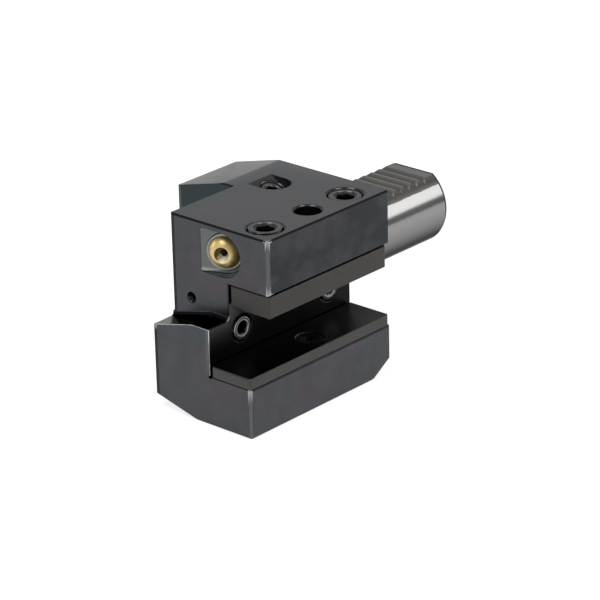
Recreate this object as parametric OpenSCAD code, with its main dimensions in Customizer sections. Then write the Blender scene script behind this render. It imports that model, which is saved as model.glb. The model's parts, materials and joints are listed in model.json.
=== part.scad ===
// Axial tool holder with a toothed cylindrical shank, for a square-shank turning tool.
// Millimetres. The origin is on the shank's axis at the contact face. The shank points to +Y,
// the tool slot opens to +X, and +Z is up.

/* [Shank] */
// Diameter of the shank
shank_d = 30; // [27:0.5:32]
// Length of the shank from the contact face
shank_l = 55; // [50:1:60]
// Height of the toothed flat over the shank's axis
flat_h = 12; // [11.5:0.1:12.6]
// Distance from the contact face to the start of the flat
flat_start = 18; // [14:1:20]
// Distance from one clamping tooth to the next
tooth_pitch = 4.25; // [3.9:0.05:4.4]
// Depth of a groove between two teeth
tooth_depth = 1.6; // [1.2:0.1:1.8]
// Angle between the two sides of a groove
tooth_angle = 90; // [80:1:95]
// Number of grooves
tooth_grooves = 7; // [4:1:7]
// Distance from the shank's end to the last groove
tooth_end = 6.5; // [5:0.1:8]
// Depth of the lead chamfer at the shank's end
shank_lead = 0.35; // [0.2:0.05:0.8]
// Length of the lead chamfer at the shank's end
shank_lead_l = 0.8; // [0.5:0.1:2]
// Distance from the contact face to the sealing ring's groove
seal_groove_y = 2.5; // [2:0.1:5]
// Width of the sealing ring's groove
seal_groove_w = 2.8; // [2.6:0.1:3.4]
// Depth of the sealing ring's groove
seal_groove_depth = 2; // [1.9:0.05:2.2]
// Thickness of the shank's sealing ring
shank_seal_t = 1.8; // [1.6:0.05:1.8]

/* [Body] */
// Height of the body's top over the shank's axis
top_h = 28; // [26:0.5:30]
// Depth of the body's underside below the shank's axis
bottom_h = 38; // [36:0.5:40]
// Distance from the shank's axis to the open side
body_right = 34.5; // [33.5:0.1:36]
// Distance from the shank's axis to the closed side of the front block
body_left = 9; // [8:0.1:10]
// Distance from the shank's axis to the closed side of the flange
flange_left = 35; // [33:0.1:37]
// Thickness of the flange, from the contact face to its front
flange_t = 29.4; // [28.5:0.1:32]
// Length of the upper block from the contact face
block_l = 60; // [59:0.5:62]
// Length of the lower jaw from the contact face
jaw_l = 70; // [68:0.5:74]
// Distance from the shank's axis to the start of the flange's top slope
top_slope_x = 13.4; // [11:0.1:15]
// Fall of the flange's top slope over its whole width
top_slope_fall = 5.6; // [4:0.1:6]
// Distance from the shank's axis to the start of the underside's slope
bottom_slope_x = 11.2; // [9:0.1:13]
// Angle of the underside's slope
bottom_slope_angle = 14; // [12:0.5:16]
// Height of the cut between the contact face and the underside
back_cut_h = 5.7; // [4:0.1:7]
// Length of the cut between the contact face and the underside
back_cut_l = 9.5; // [7:0.5:11]
// Depth of the ledge in front of the web below the shank's axis
ledge_drop = 4; // [3:0.1:5]
// Distance from the shank's axis to the start of the ledge's slope
ledge_slope_x = 9; // [7:0.1:11]
// Angle of the ledge's slope
ledge_slope_angle = 14; // [12:0.5:16]
// Radius of the hollow between the ledge and the web
ledge_cove_r = 1.6; // [1:0.1:3]
// Chamfer along the body's long edges and its upright back edges
edge = 0.5; // [0.3:0.05:0.8]
// Chamfer on the body's upright front edges
front_edge = 1; // [0.6:0.1:1.2]
// Radius of the centre bore at the front of the body and at the shank's end
centre_bore_r = 1.9; // [1.5:0.1:2.2]
// Radius of the pilot hole in the centre bores
centre_pilot_r = 1; // [0.7:0.1:1.2]
// Depth of the pilot hole in the centre bores
centre_pilot_l = 6; // [4:0.5:8]

/* [Tool slot] */
// Distance from the shank's axis to the slot's back wall
slot_wall_x = 16.7; // [16.2:0.1:17]
// Height of the slot's ceiling over the shank's axis
slot_top_h = 8.9; // [8.5:0.1:9.3]
// Depth of the slot's seat below the shank's axis
seat_drop = 20.6; // [20:0.1:21.5]
// Gap around the clamping bar and the support plate
slot_gap = 0.3; // [0.2:0.05:0.4]
// Radius of the relief groove in the slot's lower corner
relief_r = 0.5; // [0.3:0.1:0.8]

/* [Clamping bar] */
// Thickness of the clamping bar
bar_t = 7.6; // [7:0.1:8]
// Distance from the contact face to the clamping bar's back end
bar_back = 1.3; // [0.8:0.1:2]
// Travel of the clamping bar from open to clamped
bar_travel = 2.2; // [1.5:0.1:2.4]
// Radius of the clamping bar's lower inner edge
bar_round = 1.5; // [0.8:0.1:2]
// Distance from the shank's axis to the clamping screws and the retaining screw
clamp_x = 25.6; // [25:0.1:26]
// Distance from the contact face to the rear clamping screw
rear_clamp_y = 11.8; // [11:0.1:13]
// Distance from the contact face to the front clamping screw
front_clamp_y = 51.2; // [50:0.1:52]
// Distance from the contact face to the retaining screw
retainer_y = 30.5; // [29:0.1:33]
// Radius of the clamping screws
clamp_screw_r = 6; // [5.5:0.1:6]
// Length of the clamping screws
clamp_screw_l = 19; // [18:0.5:19.5]
// Gap between the front clamping screw and the bar when the bar is open
front_backoff = 0.8; // [0.5:0.1:0.9]
// Width across the flats of a clamping screw's socket
clamp_socket = 6; // [5:0.5:6]
// Depth of a clamping screw's socket
clamp_socket_l = 7; // [5:0.5:9]

/* [Retaining screw and spring] */
// Radius of the retaining screw's thread
retainer_r = 2.5; // [2.3:0.1:2.6]
// Radius of the retaining screw's head
retainer_head_r = 4.25; // [4.2:0.05:4.4]
// Height of the retaining screw's head
retainer_head_h = 5; // [4:0.1:5.5]
// Length of the retaining screw below its head
retainer_l = 16.5; // [16:0.5:17]
// Width across the flats of the retaining screw's socket
retainer_socket = 4; // [3:0.5:4]
// Depth of the retaining screw's socket
retainer_socket_l = 2.5; // [2:0.1:3]
// Radius of the well for the retaining screw's head and its spring
well_r = 4.6; // [4.5:0.05:4.8]
// Height of the well's floor over the slot's ceiling
well_floor = 3.1; // [3:0.1:3.5]
// Length that the lifting spring can still give when the bar is clamped
spring_spare = 1.6; // [1.2:0.1:2]
// Radius of the spring's coil at the middle of its wire
spring_r = 3.6; // [3.5:0.05:3.7]
// Thickness of the spring's wire
spring_wire = 0.8; // [0.6:0.05:0.85]
// Number of the spring's coils
spring_coils = 4; // [3:1:4]

/* [Support plate] */
// Thickness of the support plate
plate_t = 4; // [3.8:0.1:4.4]
// Chamfer along the support plate's edges
plate_edge = 0.3; // [0.2:0.05:0.5]
// Distance from the contact face to the support plate's back end
plate_back = 0.3; // [0.1:0.1:1]
// Distance from the shank's axis to the support plate's screw
plate_screw_x = 26.6; // [25.5:0.1:27]
// Distance from the contact face to the support plate's screw
plate_screw_y = 32; // [28:0.5:38]
// Radius of the support plate's screw
plate_screw_r = 2.5; // [2:0.1:2.6]
// Radius of the support plate screw's countersunk head
plate_head_r = 4.7; // [4.5:0.1:5]
// Length of the support plate's screw
plate_screw_l = 12; // [10:0.5:14]
// Width across the flats of the support plate screw's socket
plate_socket = 3; // [2.5:0.5:3]
// Depth of the support plate screw's socket
plate_socket_l = 2.3; // [1.8:0.1:3]

/* [Stop screws] */
// Radius of the stop screws in the slot's back wall
stop_r = 4; // [3.5:0.1:4]
// Length of a stop screw that stays in the wall when it is run out
stop_grip = 12; // [8:0.5:14]
// Travel of a stop screw out of the wall
stop_travel = 4; // [2:0.5:5]
// Depth of the stop screws below the shank's axis
stop_drop = 8.3; // [8:0.1:9]
// Distance from the contact face to the front stop screw
front_stop_y = 54.2; // [53:0.1:54.6]
// Distance from the contact face to the rear stop screw
rear_stop_y = 10.8; // [10:0.1:12]
// Distance that the stop screws stand out of the wall
stop_proud = 0.4; // [0.2:0.1:0.8]
// Width across the flats of a stop screw's socket
stop_socket = 4; // [3:0.5:4]
// Depth of a stop screw's socket
stop_socket_l = 5; // [3:0.5:6]

/* [Coolant] */
// Distance from the shank's axis to the middle of the nozzle's pocket
nozzle_x = 12.9; // [12.6:0.1:13]
// Height of the nozzle over the shank's axis
nozzle_h = 18.4; // [18.2:0.1:18.6]
// Angle that the nozzle's pocket turns towards the tool slot
nozzle_turn = 22; // [20:0.5:24]
// Radius of the nozzle's pocket
nozzle_pocket_r = 7.6; // [7.4:0.1:7.8]
// Distance from the middle of the nozzle's pocket to its shallow edge
nozzle_pocket_reach = 8; // [7.8:0.1:8.3]
// Radius of the nozzle ball
ball_r = 6; // [5.5:0.1:6]
// Depth of the ball's centre below the pocket's floor
ball_sink = 1.9; // [1.7:0.1:2.1]
// Radius of the flat face on the nozzle ball
ball_face_r = 3; // [2.6:0.1:3.2]
// Width of the rim between the ball's flat face and its conical mouth
mouth_rim = 0.3; // [0.2:0.05:0.6]
// Depth of the ball's conical mouth
mouth_l = 2.2; // [1.5:0.1:3]
// Radius of the ball's throat, at the bottom of its mouth
throat_r = 1.2; // [0.8:0.1:1.5]
// Radius of the ring that holds the nozzle ball
ring_r = 6.5; // [6.45:0.05:6.8]
// Distance that the ring stands out of the pocket's floor
ring_proud = 0.5; // [0.4:0.1:0.8]
// Depth of the ring below the pocket's floor
ring_sink = 3.5; // [3.2:0.1:4]
// Thickness of the sealing ring behind the ball
ball_seal_t = 1.8; // [1.6:0.1:2]
// Radius of the sealing ring behind the ball, at the middle of its section
ball_seal_r = 4; // [3.8:0.1:4.2]
// Radius of the coolant ducts
duct_r = 2.5; // [2:0.1:2.5]
// Radius of the coolant inlet in the contact face
inlet_r = 4; // [3.8:0.1:4.2]
// Depth of the coolant inlet
inlet_l = 6; // [4:0.5:8]
// Height of the cross duct over the shank's axis
cross_duct_h = 16.5; // [16:0.1:16.8]
// Distance from the contact face to the cross duct and the top outlet
cross_duct_y = 18.8; // [18.5:0.1:20]
// Distance from the shank's axis to the top outlet, on the closed side
top_outlet_x = 0.4; // [0:0.1:1]
// Angle that the top outlet's pocket turns towards the tool slot
top_outlet_turn = 17; // [15:0.5:20]
// Radius of the top outlet's pocket
top_pocket_r = 5.8; // [5.6:0.1:6.2]
// Radius of the plugs
plug_r = 4; // [3.5:0.1:4]
// Length of the plugs
plug_l = 5; // [4:0.1:5.5]
// Depth of the plugs below their floor
plug_sink = 0.3; // [0.1:0.1:0.5]
// Width across the flats of a plug's socket
plug_socket = 4; // [3:0.5:4]
// Depth of a plug's socket
plug_socket_l = 3; // [2:0.5:3.5]

/* [Fits] */
// Gap around a screw, plug or ring that sits in the body
fit_gap = 0.05; // [0.02:0.01:0.1]
// Gap at each side of a sealing ring
seal_gap = 0.04; // [0.02:0.01:0.08]
// Width of the chamfer at the mouth of a screw hole
mouth_chamfer = 0.5; // [0.3:0.05:0.8]
// Width of the chamfer at the end of a screw
screw_chamfer = 0.6; // [0.3:0.05:0.8]

/* [Hidden] */
$fn = 64;
over = 1;
top_z = top_h;
bottom_z = -bottom_h;
slot_top_z = slot_top_h;
seat_z = -seat_drop;
ledge_z = -ledge_drop;
bar_top_z = slot_top_z - slot_gap;
bar_bottom_z = bar_top_z - bar_t;
well_floor_z = slot_top_z + well_floor;
spring_l = spring_coils * spring_wire + bar_travel + spring_spare;
head_z = well_floor_z + spring_l;
retainer_tip_z = head_z - retainer_l;
plate_top_z = seat_z + plate_t;
insert_left = slot_wall_x + slot_gap;
stop_z = -stop_drop;
stop_l = stop_grip + stop_travel;
socket_taper = 0.35;
seam_turn = 22.5;

// The middle of the nozzle's pocket on its tilted floor, and the way the nozzle points.
nozzle_depth = nozzle_pocket_reach * tan(nozzle_turn);
nozzle_at = [nozzle_x, nozzle_depth - block_l, nozzle_h];
nozzle_out = [sin(nozzle_turn), -cos(nozzle_turn), 0];
ring_bore_r = ring_r + fit_gap;
seal_reach = ball_r + seal_gap + ball_seal_t / 2;
ball_seal_z = -ball_sink - sqrt(pow(seal_reach, 2) - pow(ball_seal_r, 2));
nozzle_bore_l = ball_seal_t / 2 + seal_gap - ball_seal_z;
nozzle_bottom = nozzle_at - nozzle_bore_l * nozzle_out;
duct_x = nozzle_bottom[0];

// The top outlet's tilted floor, on the same rule.
top_outlet_depth = top_pocket_r * tan(top_outlet_turn);
top_outlet_at = [-top_outlet_x, -cross_duct_y, top_z - top_outlet_depth];
top_outlet_bore_l = (top_outlet_at[2] - cross_duct_h) / cos(top_outlet_turn);
duct_plug_bore_l = plug_l + plug_sink + screw_chamfer;

// Outlines and prisms

// Cuts every corner of an outline by the length c.
function cut_corners(points, c) = [
    for (i = [0 : len(points) - 1])
        let (p = points[i])
        let (before = points[(i + len(points) - 1) % len(points)])
        let (after = points[(i + 1) % len(points)])
        each [p + c * (before - p) / norm(before - p), p + c * (after - p) / norm(after - p)]
];

function rectangle(low, high) = [low, [high[0], low[1]], high, [low[0], high[1]]];

// An outline in X and Z, drawn out along Y.
module along_y(points, from, to) {
    translate([0, to, 0])
        rotate([90, 0, 0])
            linear_extrude(to - from)
                polygon(points);
}

// An outline in X and Y, drawn out along Z.
module along_z(points, from, to) {
    translate([0, 0, from])
        linear_extrude(to - from)
            polygon(points);
}

// An outline in Y and Z, drawn out along X.
module along_x(points, from, to) {
    translate([from, 0, 0])
        rotate([90, 0, 90])
            linear_extrude(to - from)
                polygon(points);
}

// A block with its four long edges and its upright edges cut.
module edged_block(low, high, long_cut, upright_cut) {
    intersection() {
        along_y(cut_corners(rectangle([low[0], low[2]], [high[0], high[2]]), long_cut), low[1], high[1]);
        along_z(cut_corners(rectangle([low[0], low[1]], [high[0], high[1]]), upright_cut), low[2], high[2]);
        along_x(cut_corners(rectangle([low[1], low[2]], [high[1], high[2]]), long_cut), low[0], high[0]);
    }
}

// Screws and holes

// A screw or hole with a chamfered mouth at z = 0 that runs down to -l.
module screw_hole(r, l, chamfer) {
    translate([0, 0, -l])
        cylinder(h = l + over, r = r);
    translate([0, 0, -chamfer])
        cylinder(h = chamfer + over, r1 = r, r2 = r + chamfer + over);
}

// The room that a hex key needs, from z = 0 down.
module socket_cut(flats, depth) {
    key_r = flats / 2 / cos(30);
    translate([0, 0, -depth])
        cylinder(h = depth + over, r = key_r, $fn = 6);
    translate([0, 0, -socket_taper])
        cylinder(h = socket_taper + over, r1 = key_r - socket_taper, r2 = key_r + over);
}

// A headless screw, its socket end at z = 0 and its point at -l.
module set_screw(r, l, flats, depth) {
    difference() {
        rotate_extrude()
            polygon([[0, 0], [r - screw_chamfer, 0], [r, -screw_chamfer], [r, screw_chamfer - l],
                [r - screw_chamfer, -l], [0, -l]]);
        socket_cut(flats, depth);
    }
}

// Shank

// The shank before its flat is cut. Its seam line lies beside the flat, on the open side.
module shank_solid() {
    r = shank_d / 2;
    rotate([-90, -seam_turn, 0])
        rotate_extrude()
            polygon([[0, -over], [r, -over], [r, seal_groove_y],
                [r - seal_groove_depth, seal_groove_y],
                [r - seal_groove_depth, seal_groove_y + seal_groove_w], [r, seal_groove_y + seal_groove_w],
                [r, shank_l - shank_lead_l], [r - shank_lead, shank_l], [0, shank_l]]);
}

// One V groove across the flat, with its bottom at z = 0.
module tooth_groove() {
    rise = tooth_depth + over;
    half = rise * tan(tooth_angle / 2);
    along_x([[0, 0], [half, rise], [-half, rise]], -shank_d, shank_d);
}

module shank() {
    difference() {
        shank_solid();
        translate([-shank_d, flat_start, flat_h])
            cube([2 * shank_d, shank_l, shank_d]);
        for (i = [0 : tooth_grooves - 1])
            translate([0, shank_l - tooth_end - i * tooth_pitch, flat_h - tooth_depth])
                tooth_groove();
    }
}

// Body

// The height of the underside's slope at a distance x from the shank's axis.
function underside_z(x) = bottom_z + (bottom_slope_x - x) * tan(bottom_slope_angle);

// The whole section across the shank, which only the flange keeps.
flange_section = [[body_right, bottom_z], [body_right, top_z], [-top_slope_x, top_z],
    [-flange_left, top_z - top_slope_fall], [-flange_left, underside_z(-flange_left)],
    [bottom_slope_x, bottom_z]];

// The section of the front block, cut back on its closed side.
block_section = [[body_right, bottom_z], [body_right, top_z], [-body_left, top_z],
    [-body_left, underside_z(-body_left)], [bottom_slope_x, bottom_z]];

// The section of the jaw in front of the block, below its ledge.
jaw_section = [[body_right, bottom_z], [body_right, ledge_z], [ledge_slope_x, ledge_z],
    [-body_left, ledge_z - (ledge_slope_x + body_left) * tan(ledge_slope_angle)],
    [-body_left, underside_z(-body_left)], [bottom_slope_x, bottom_z]];

// A block's outline seen from above, with its front corners cut by front_edge and its back ones by edge.
function plan(left, front) = [
    [front_edge - left, -front], [body_right - front_edge, -front], [body_right, front_edge - front],
    [body_right, -edge], [body_right - edge, 0], [edge - left, 0], [-left, -edge], [-left, front_edge - front]
];

// A block with this section. Its front lower edge is cut where low is the underside, and not where low is deeper.
module section_block(section, left, front, low) {
    intersection() {
        along_y(cut_corners(section, edge), -front, 0);
        along_z(plan(left, front), bottom_z, top_z);
        along_x(cut_corners(rectangle([-front, low], [0, top_z]), edge), -left, body_right);
    }
}

// The hollow where the ledge meets the web, along the flat part and down the slope.
module ledge_cove() {
    slope_l = (ledge_slope_x + body_left) / cos(ledge_slope_angle) - edge;
    translate([ledge_slope_x, -block_l, ledge_z]) {
        cove(slot_wall_x - ledge_slope_x);
        rotate([0, -ledge_slope_angle, 0])
            translate([-slope_l, 0, 0])
                cove(slope_l);
    }
}

module cove(l) {
    r = ledge_cove_r;
    difference() {
        translate([0, -r, -over])
            cube([l, r + over, r + over]);
        translate([-over, -r, r])
            rotate([0, 90, 0])
                cylinder(h = l + 2 * over, r = r);
    }
}

// The tool slot, flared at its open side, with a relief groove in its lower corner.
module slot_cut() {
    mouth = edge + over;
    along_y([[slot_wall_x, seat_z], [body_right - edge, seat_z], [body_right + over, seat_z - mouth],
        [body_right + over, slot_top_z + mouth], [body_right - edge, slot_top_z],
        [slot_wall_x, slot_top_z]], -jaw_l - over, over);
    translate([slot_wall_x, over, seat_z])
        rotate([90, 0, 0])
            cylinder(h = jaw_l + 2 * over, r = relief_r, $fn = 24);
}

// The sloping cut between the contact face and the underside.
module back_cut() {
    slope = back_cut_h / back_cut_l;
    reach = back_cut_l + over;
    along_x([[over, bottom_z + back_cut_h + over * slope], [-reach, bottom_z - over * slope],
        [over, bottom_z - over * slope]], -flange_left - over, body_right + over);
}

module clamp_holes() {
    for (y = [rear_clamp_y, front_clamp_y])
        translate([clamp_x, -y, top_z])
            screw_hole(clamp_screw_r + fit_gap, top_h - slot_top_h + over, mouth_chamfer);
}

module retainer_well() {
    translate([clamp_x, -retainer_y, top_z]) {
        screw_hole(well_r, top_z - well_floor_z, mouth_chamfer);
        screw_hole(retainer_r + slot_gap, top_h - slot_top_h + over, 0);
    }
}

// Puts its children at a stop screw's hole, with z = 0 on the wall and +Z out of it.
module at_stop(y) {
    translate([slot_wall_x, -y, stop_z])
        rotate([0, 90, 0])
            children();
}

module stop_holes() {
    for (y = [rear_stop_y, front_stop_y])
        at_stop(y)
            screw_hole(stop_r + fit_gap, stop_l + fit_gap, 2 * mouth_chamfer);
}

// Puts its children on the floor of the nozzle's pocket, with +Z out of it.
module at_nozzle() {
    translate(nozzle_at)
        rotate([90, 0, nozzle_turn])
            children();
}

// Puts its children on the floor of the top outlet's pocket, with +Z out of it.
module at_top_outlet() {
    translate(top_outlet_at)
        rotate([0, top_outlet_turn, 0])
            children();
}

// Puts its children at the mouth of the cross duct, with +Z out of it.
module at_duct_mouth() {
    translate([-flange_left, -cross_duct_y, cross_duct_h])
        rotate([0, -90, 0])
            children();
}

// A round-ended pocket on a tilted floor that runs out at its shallow edge.
module tilted_pocket(r, reach) {
    cylinder(h = shank_d, r = r);
    translate([-reach - over, -r, 0])
        cube([reach + over, 2 * r, shank_d]);
}

module coolant_ducts() {
    at_nozzle() {
        tilted_pocket(nozzle_pocket_r, nozzle_pocket_reach / cos(nozzle_turn));
        screw_hole(ring_bore_r, nozzle_bore_l, 0);
    }
    at_top_outlet() {
        tilted_pocket(top_pocket_r, top_pocket_r / cos(top_outlet_turn));
        screw_hole(plug_r + fit_gap, top_outlet_bore_l, mouth_chamfer);
    }
    at_duct_mouth() {
        screw_hole(plug_r + fit_gap, duct_plug_bore_l, mouth_chamfer);
        screw_hole(duct_r, flange_left + duct_x, 0);
    }
    translate([duct_x, 0, nozzle_h])
        rotate([-90, 0, 0]) {
            screw_hole(duct_r, -nozzle_bottom[1], 0);
            screw_hole(inlet_r, inlet_l, mouth_chamfer);
        }
}

// A centre bore with its mouth at z = 0.
module centre_bore() {
    cone_l = (centre_bore_r - centre_pilot_r) / tan(30);
    translate([0, 0, -cone_l])
        cylinder(h = cone_l, r1 = centre_pilot_r, r2 = centre_bore_r);
    translate([0, 0, -centre_pilot_l])
        cylinder(h = centre_pilot_l, r = centre_pilot_r);
    cylinder(h = over, r = centre_bore_r);
}

module body() {
    color("#3d3c40")
        difference() {
            union() {
                section_block(flange_section, flange_left, flange_t, bottom_z - over);
                section_block(block_section, body_left, block_l, bottom_z - over);
                section_block(jaw_section, body_left, jaw_l, bottom_z);
                ledge_cove();
                shank();
            }
            slot_cut();
            back_cut();
            clamp_holes();
            retainer_well();
            stop_holes();
            coolant_ducts();
            translate([0, -block_l, 0])
                rotate([90, 0, 0])
                    centre_bore();
            translate([0, shank_l, 0])
                rotate([-90, 0, 0])
                    centre_bore();
            translate([plate_screw_x, -plate_screw_y, seat_z])
                screw_hole(plate_screw_r + fit_gap, plate_screw_l, 0);
        }
}

// Clamping bar with its screws

module clamping_bar() {
    low = [insert_left, -block_l, bar_bottom_z];
    high = [body_right, -bar_back, bar_top_z];
    color("#4a4846")
        difference() {
            edged_block(low, high, plate_edge, front_edge);
            translate([low[0], over, low[2]])
                rotate([90, 0, 0])
                    linear_extrude(block_l + 2 * over)
                        difference() {
                            translate([-over, -over])
                                square(bar_round + over);
                            translate([bar_round, bar_round])
                                circle(r = bar_round);
                        }
            translate([clamp_x, -retainer_y, bar_top_z])
                screw_hole(retainer_r + fit_gap, bar_top_z - retainer_tip_z + slot_gap, 0);
        }
}

module clamping_screw(y, lift) {
    color("#2b2a2c")
        translate([clamp_x, -y, bar_top_z + clamp_screw_l + lift])
            set_screw(clamp_screw_r, clamp_screw_l, clamp_socket, clamp_socket_l);
}

module front_clamping_screw() {
    clamping_screw(front_clamp_y, front_backoff);
}

module rear_clamping_screw() {
    clamping_screw(rear_clamp_y, 0);
}

module bar_retaining_screw() {
    r = retainer_r;
    tip = retainer_tip_z;
    color("#2b2a2c")
        translate([clamp_x, -retainer_y, 0])
            difference() {
                rotate_extrude()
                    polygon([[0, tip], [r - screw_chamfer, tip], [r, tip + screw_chamfer], [r, head_z],
                        [retainer_head_r, head_z], [retainer_head_r, head_z + retainer_head_h - screw_chamfer],
                        [retainer_head_r - screw_chamfer, head_z + retainer_head_h],
                        [0, head_z + retainer_head_h]]);
                translate([0, 0, head_z + retainer_head_h])
                    socket_cut(retainer_socket, retainer_socket_l);
            }
}

// Spring

ring_sides = 6;
rings_per_coil = 8;
spring_rings = spring_coils * rings_per_coil;
spring_low = well_floor_z + spring_wire / 2 + seal_gap;
spring_high = head_z - spring_wire / 2 - seal_gap;
spring_rise = (spring_high - spring_low) / spring_rings;

// The points of one ring of the wire, at step i along the coil.
function wire_ring(i) =
    let (turn = 360 * i / rings_per_coil)
    [for (k = [0 : ring_sides - 1])
        let (a = 360 * k / ring_sides)
        let (r = spring_r + spring_wire / 2 * cos(a))
        [r * cos(turn), r * sin(turn), spring_low + i * spring_rise + spring_wire / 2 * sin(a)]];

function wire_sides(i) = [
    for (k = [0 : ring_sides - 1])
        let (a = i * ring_sides + k)
        let (b = i * ring_sides + (k + 1) % ring_sides)
        each [[a, b, b + ring_sides], [a, b + ring_sides, a + ring_sides]]
];

module spring_wire_solid() {
    points = [for (i = [0 : spring_rings]) each wire_ring(i)];
    first_cap = [for (k = [1 : ring_sides - 2]) [0, k + 1, k]];
    last = spring_rings * ring_sides;
    last_cap = [for (k = [1 : ring_sides - 2]) [last, last + k, last + k + 1]];
    sides = [for (i = [0 : spring_rings - 1]) each wire_sides(i)];
    polyhedron(points, concat(first_cap, sides, last_cap));
}

spring_gap = spring_rise * rings_per_coil - spring_wire;
echo("least gap between two coils of the spring", spring_gap);

module bar_spring() {
    color("#8c8c90")
        translate([clamp_x, -retainer_y, 0])
            spring_wire_solid();
}

// Support plate

module support_plate() {
    head_l = plate_head_r - plate_screw_r;
    color("#2e2d2f")
        difference() {
            edged_block([insert_left, -jaw_l, seat_z], [body_right, -plate_back, plate_top_z],
                plate_edge, front_edge);
            translate([plate_screw_x, -plate_screw_y, plate_top_z]) {
                screw_hole(plate_screw_r + slot_gap, plate_t + over, 0);
                translate([0, 0, -head_l - seal_gap])
                    cylinder(h = head_l + seal_gap + over, r1 = plate_screw_r + slot_gap,
                        r2 = plate_head_r + slot_gap + over);
            }
        }
}

module support_plate_screw() {
    r = plate_screw_r;
    head_l = plate_head_r - r;
    color("#2b2a2c")
        translate([plate_screw_x, -plate_screw_y, plate_top_z - slot_gap])
            difference() {
                rotate_extrude()
                    polygon([[0, 0], [plate_head_r, 0], [r, -head_l], [r, screw_chamfer - plate_screw_l],
                        [r - screw_chamfer, -plate_screw_l], [0, -plate_screw_l]]);
                socket_cut(plate_socket, plate_socket_l);
            }
}

// Stop screws

module stop_screw(y) {
    color("#35343a")
        at_stop(y)
            translate([0, 0, stop_proud])
                set_screw(stop_r, stop_l, stop_socket, stop_socket_l);
}

module front_stop_screw() {
    stop_screw(front_stop_y);
}

module rear_stop_screw() {
    stop_screw(rear_stop_y);
}

// Coolant nozzle and plugs

module nozzle_ball() {
    face_z = sqrt(pow(ball_r, 2) - pow(ball_face_r, 2));
    mouth_r = ball_face_r - mouth_rim;
    mouth_slope = (mouth_r - throat_r) / mouth_l;
    color("#c9a24a")
        at_nozzle()
            translate([0, 0, -ball_sink])
                difference() {
                    sphere(r = ball_r);
                    translate([-ball_r, -ball_r, face_z])
                        cube([2 * ball_r, 2 * ball_r, ball_r]);
                    translate([0, 0, -ball_r - over])
                        cylinder(h = 2 * (ball_r + over), r = throat_r);
                    translate([0, 0, -ball_r - over])
                        cylinder(h = ball_r + over, r = duct_r);
                    translate([0, 0, face_z - mouth_l])
                        cylinder(h = mouth_l + over, r1 = throat_r, r2 = mouth_r + over * mouth_slope);
                }
}

module nozzle_ring() {
    color("#8f8f92")
        at_nozzle()
            difference() {
                translate([0, 0, -ring_sink])
                    cylinder(h = ring_sink + ring_proud, r = ring_r);
                translate([0, 0, -ball_sink])
                    sphere(r = ball_r + fit_gap);
                translate([0, 0, -ring_sink - over])
                    cylinder(h = ring_sink - ball_sink + over, r = ball_r + fit_gap);
            }
}

module sealing_ring(middle_r, thickness) {
    rotate_extrude()
        translate([middle_r, 0])
            circle(d = thickness);
}

module nozzle_seal() {
    color("#1c1c1e")
        at_nozzle()
            translate([0, 0, ball_seal_z])
                sealing_ring(ball_seal_r, ball_seal_t);
}

module plug() {
    translate([0, 0, -plug_sink])
        set_screw(plug_r, plug_l, plug_socket, plug_socket_l);
}

module top_outlet_plug() {
    color("#2b2a2c")
        at_top_outlet()
            plug();
}

module duct_plug() {
    color("#2b2a2c")
        at_duct_mouth()
            plug();
}

module shank_seal_ring() {
    groove_floor_r = shank_d / 2 - seal_groove_depth;
    color("#1c1c1e")
        translate([0, seal_groove_y + seal_groove_w / 2, 0])
            rotate([-90, 0, 0])
                sealing_ring(groove_floor_r + seal_gap + shank_seal_t / 2, shank_seal_t);
}

body();
clamping_bar();
front_clamping_screw();
rear_clamping_screw();
bar_retaining_screw();
bar_spring();
support_plate();
support_plate_screw();
front_stop_screw();
rear_stop_screw();
nozzle_ball();
nozzle_ring();
nozzle_seal();
top_outlet_plug();
duct_plug();
shank_seal_ring();
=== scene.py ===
"""Looks of an axial tool holder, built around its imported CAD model.

Lengths are in millimetres, and MM turns them into Blender's metres where a mesh or an object is made.
A piece that stands for a CAD node takes its place and size from that node's box.
"""
import json
import math

import bpy
from mathutils import Matrix, Vector


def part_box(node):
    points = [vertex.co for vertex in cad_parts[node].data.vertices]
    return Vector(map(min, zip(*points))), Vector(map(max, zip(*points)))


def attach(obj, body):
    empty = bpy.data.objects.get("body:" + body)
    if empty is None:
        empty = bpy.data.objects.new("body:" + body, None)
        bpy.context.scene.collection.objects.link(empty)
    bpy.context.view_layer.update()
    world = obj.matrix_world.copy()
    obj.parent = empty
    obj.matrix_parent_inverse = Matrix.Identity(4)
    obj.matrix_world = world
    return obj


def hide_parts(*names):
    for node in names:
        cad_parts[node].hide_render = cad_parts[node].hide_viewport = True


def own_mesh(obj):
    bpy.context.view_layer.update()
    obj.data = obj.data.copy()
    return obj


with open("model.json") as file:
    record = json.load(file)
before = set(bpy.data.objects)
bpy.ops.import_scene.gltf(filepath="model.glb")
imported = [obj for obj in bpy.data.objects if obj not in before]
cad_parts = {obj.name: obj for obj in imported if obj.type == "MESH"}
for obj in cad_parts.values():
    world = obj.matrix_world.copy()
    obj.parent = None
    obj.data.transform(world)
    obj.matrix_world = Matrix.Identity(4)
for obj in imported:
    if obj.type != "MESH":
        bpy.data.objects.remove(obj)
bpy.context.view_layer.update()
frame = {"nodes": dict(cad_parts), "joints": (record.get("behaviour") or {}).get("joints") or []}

MM = 0.001
TURN = 2 * math.pi

# Camera, as a pinhole that saw the object in the photograph
IMAGE_PX = 600
FOCAL_PX = 3066.5
AZIMUTH_DEG = 42.05
ELEVATION_DEG = 22.64
ROLL_DEG = -1.37
CAMERA_DISTANCE = 1061.8
CAMERA_TARGET = (-6.2, 0.0, -22.14)
SENSOR_WIDTH = 36.0

# Levels of the floor and of the air round the set, where 1 is white
FLOOR_COLOUR = 0.5
FLOOR_LIFT = 0.75
WORLD_LOW = 0.68
WORLD_HIGH = 0.34
WORLD_DIMS_FROM_DEG = 30.0
WORLD_DIM_FROM_DEG = 50.0

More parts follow.
